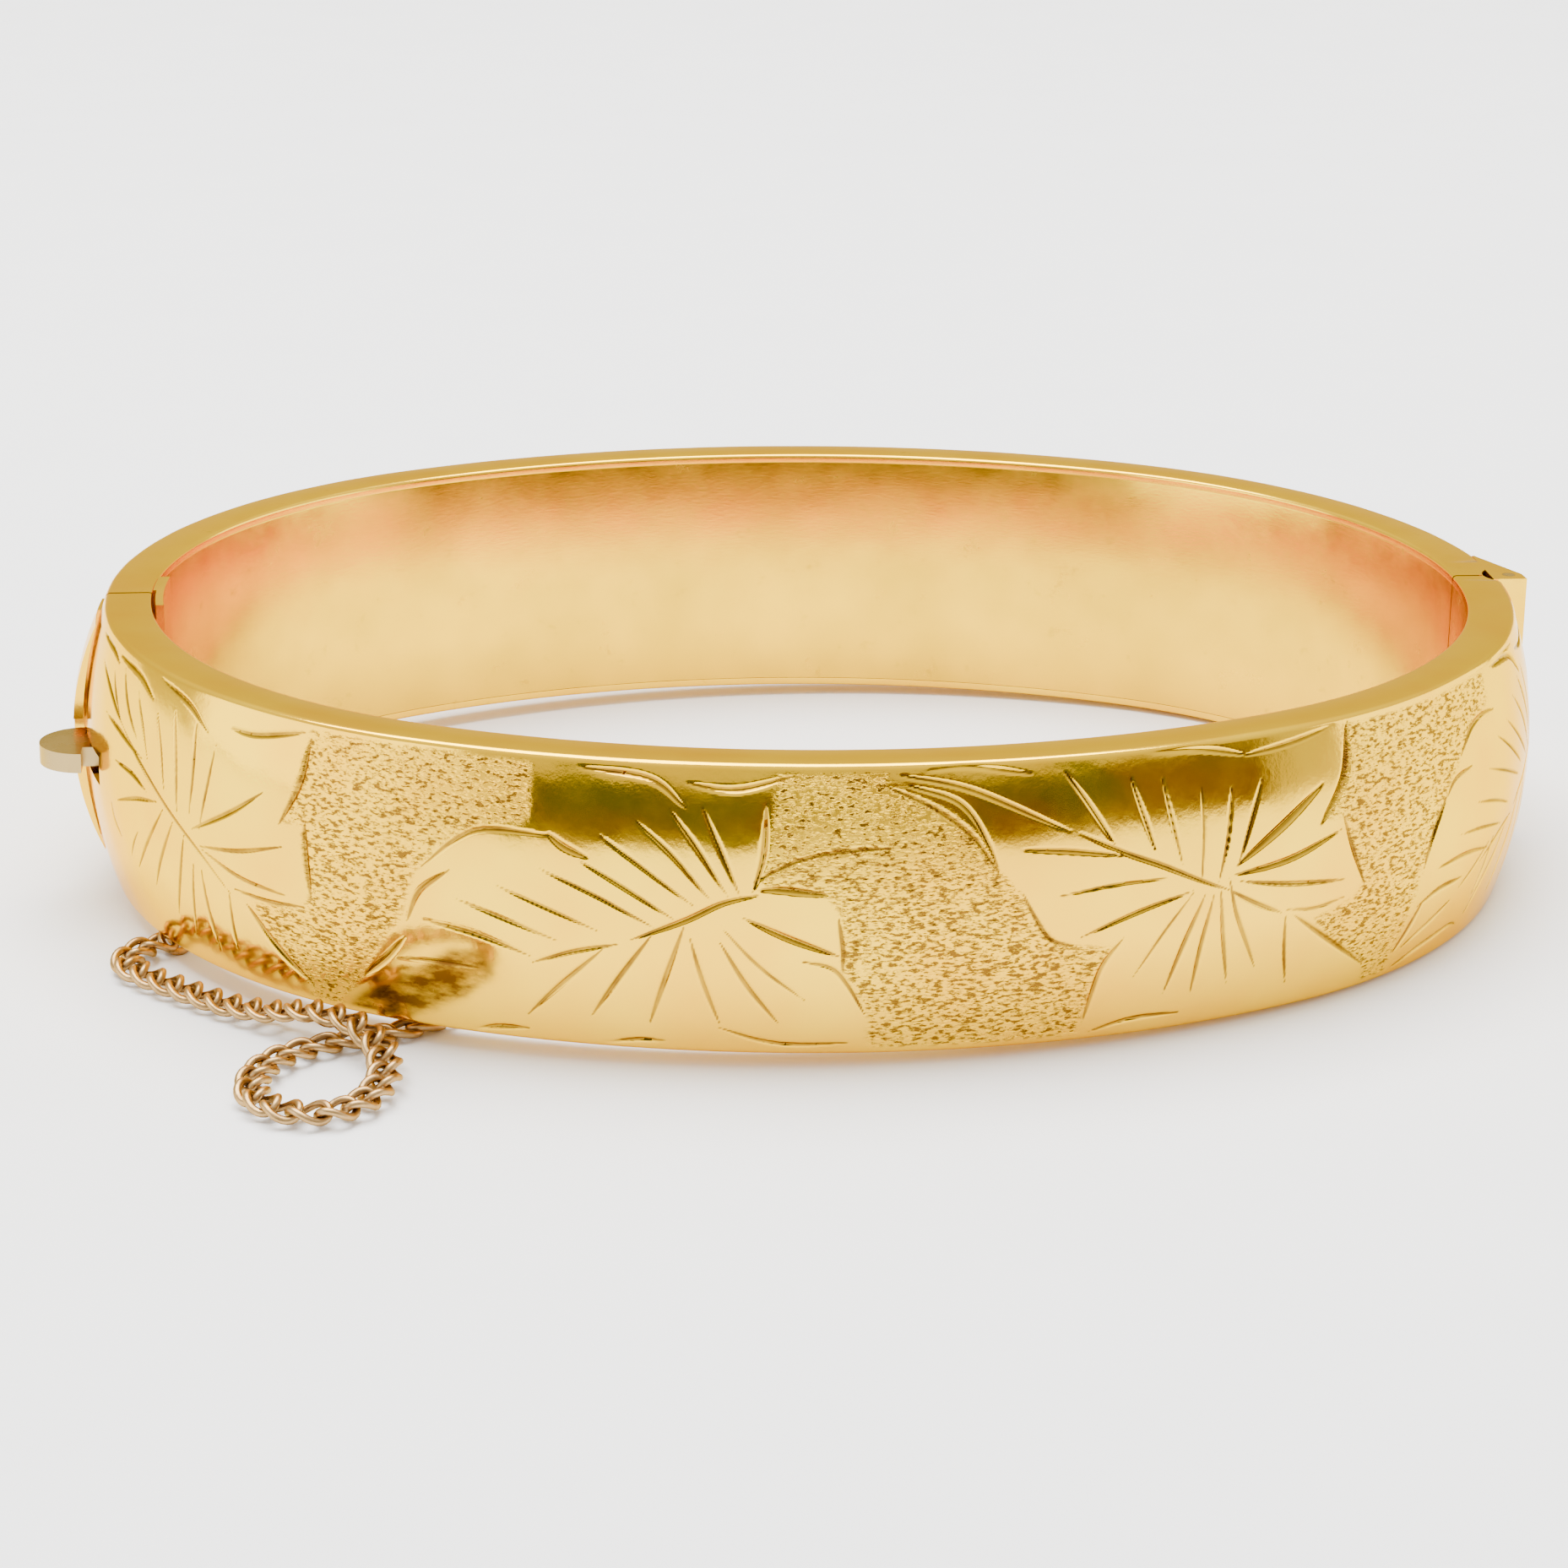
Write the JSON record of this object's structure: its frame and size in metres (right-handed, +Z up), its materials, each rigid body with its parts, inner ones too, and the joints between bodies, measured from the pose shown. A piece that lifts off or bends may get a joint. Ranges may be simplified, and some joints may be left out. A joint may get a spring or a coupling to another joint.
{
  "type": "bangle bracelet",
  "caption": "Hinged oval bangle in rolled gold: hollow engraved front half, plain rear half, tongue clasp with a thumb-piece, and a safety chain across the clasp.",
  "frame": {"origin": "on the surface that the bangle lies on, under the middle of the band's outline", "axes": "+X along the oval towards the hinge, +Y across the oval towards the plain rear half, +Z up out of the wrist opening; the band's own axis leans 1 degree towards +X, because the two chain eyes lift the clasp end"},
  "size_m": [0.0694, 0.0591, 0.0138],
  "materials": {
    "plain_face": "polished rolled gold with light wear",
    "engraved_face": "polished leaves cut bright, on a stippled matt ground",
    "lining": "satin gold, worn smooth inside",
    "fittings": "polished gold, slightly darker",
    "spring": "rolled gold spring strip",
    "chain": "dull rose gold wire, dark in its recesses"
  },
  "bodies": {
    "rear_half": {"rear_shell": "plain_face", "rear_lining": "lining", "rear_clasp_end_cap": "lining", "rear_hinge_end_cap": "lining", "clasp_outer_guard": "plain_face", "clasp_inner_guard": "lining", "hinge_block": "plain_face", "hinge_knuckle_top": "plain_face", "hinge_knuckle_bottom": "plain_face", "hinge_pin": "fittings", "rear_chain_eye": "chain", "rear_jump_ring": "chain", "chain_run_01": "chain", "chain_run_02": "chain", "chain_run_03": "chain", "chain_run_04": "chain"},
    "front_half": {"front_shell": "engraved_face", "front_lining": "lining", "front_clasp_end_cap": "lining", "front_hinge_end_cap": "lining", "hinge_knuckle_middle": "plain_face", "tongue_fixed_leaf": "spring", "front_chain_eye": "chain", "front_jump_ring": "chain"},
    "tongue": {"tongue_spring_leaf": "spring", "thumb_piece": "fittings"},
    "chain_run_05": {"chain_run_05": "chain"},
    "chain_run_06": {"chain_run_06": "chain"},
    "chain_run_07": {"chain_run_07": "chain"},
    "chain_run_08": {"chain_run_08": "chain", "chain_run_09": "chain"},
    "chain_run_10": {"chain_run_10": "chain", "chain_run_11": "chain"},
    "chain_run_12": {"chain_run_12": "chain"}
  },
  "joints": [
    {"name": "front_half_hinge", "type": "hinge", "parent": "rear_half", "child": "front_half", "pos_m": [0.03406, 0, 0.00631], "axis": [0.0175, 0, 0.9998], "range_deg": [0, 40], "deforming": ["rear_jump_ring", "front_jump_ring", "chain_run_01", "chain_run_02", "chain_run_03", "chain_run_04", "chain_run_05", "chain_run_06", "chain_run_07", "chain_run_08", "chain_run_09", "chain_run_10", "chain_run_11", "chain_run_12"]},
    {"name": "thumb_press", "type": "hinge", "parent": "front_half", "child": "tongue", "pos_m": [-0.03053, 0.0062, 0.00744], "axis": [0.0175, 0, 0.9998], "range_deg": [0, 4], "stiffness_Nm_per_rad": 0.45},
    {"name": "chain_run_05_swing", "type": "hinge", "parent": "rear_half", "child": "chain_run_05", "pos_m": [-0.01709, -0.01524, 0.0005], "axis": [0, 0, 1], "range_deg": [0, 6.8]},
    {"name": "chain_run_06_swing", "type": "hinge", "parent": "chain_run_05", "child": "chain_run_06", "pos_m": [-0.01695, -0.02064, 0.0005], "axis": [0, 0, 1], "range_deg": [0, 68.3]},
    {"name": "chain_run_07_swing", "type": "hinge", "parent": "chain_run_06", "child": "chain_run_07", "pos_m": [-0.02226, -0.02356, 0.0005], "axis": [0, 0, 1], "range_deg": [-42.2, 0]},
    {"name": "chain_run_08_swing", "type": "hinge", "parent": "chain_run_07", "child": "chain_run_08", "pos_m": [-0.02421, -0.02878, 0.0005], "axis": [0, 0, 1], "range_deg": [-124.3, 0]},
    {"name": "chain_run_10_swing", "type": "hinge", "parent": "chain_run_08", "child": "chain_run_10", "pos_m": [-0.02024, -0.02373, 0.0005], "axis": [0, 0, 1], "range_deg": [0, 212.1]},
    {"name": "chain_run_12_swing", "type": "hinge", "parent": "chain_run_10", "child": "chain_run_12", "pos_m": [-0.02899, -0.0153, 0.0005], "axis": [0, 0, 1], "range_deg": [-212.5, 0]}
  ],
  "couplings": [
    {"joint": "chain_run_05_swing", "follows": "front_half_hinge", "ratio": 0.146},
    {"joint": "chain_run_06_swing", "follows": "front_half_hinge", "ratio": 1.6815},
    {"joint": "chain_run_07_swing", "follows": "front_half_hinge", "ratio": -1.0293},
    {"joint": "chain_run_08_swing", "follows": "front_half_hinge", "ratio": -3.0814},
    {"joint": "chain_run_10_swing", "follows": "front_half_hinge", "ratio": 5.2766},
    {"joint": "chain_run_12_swing", "follows": "front_half_hinge", "ratio": -5.2866}
  ]
}
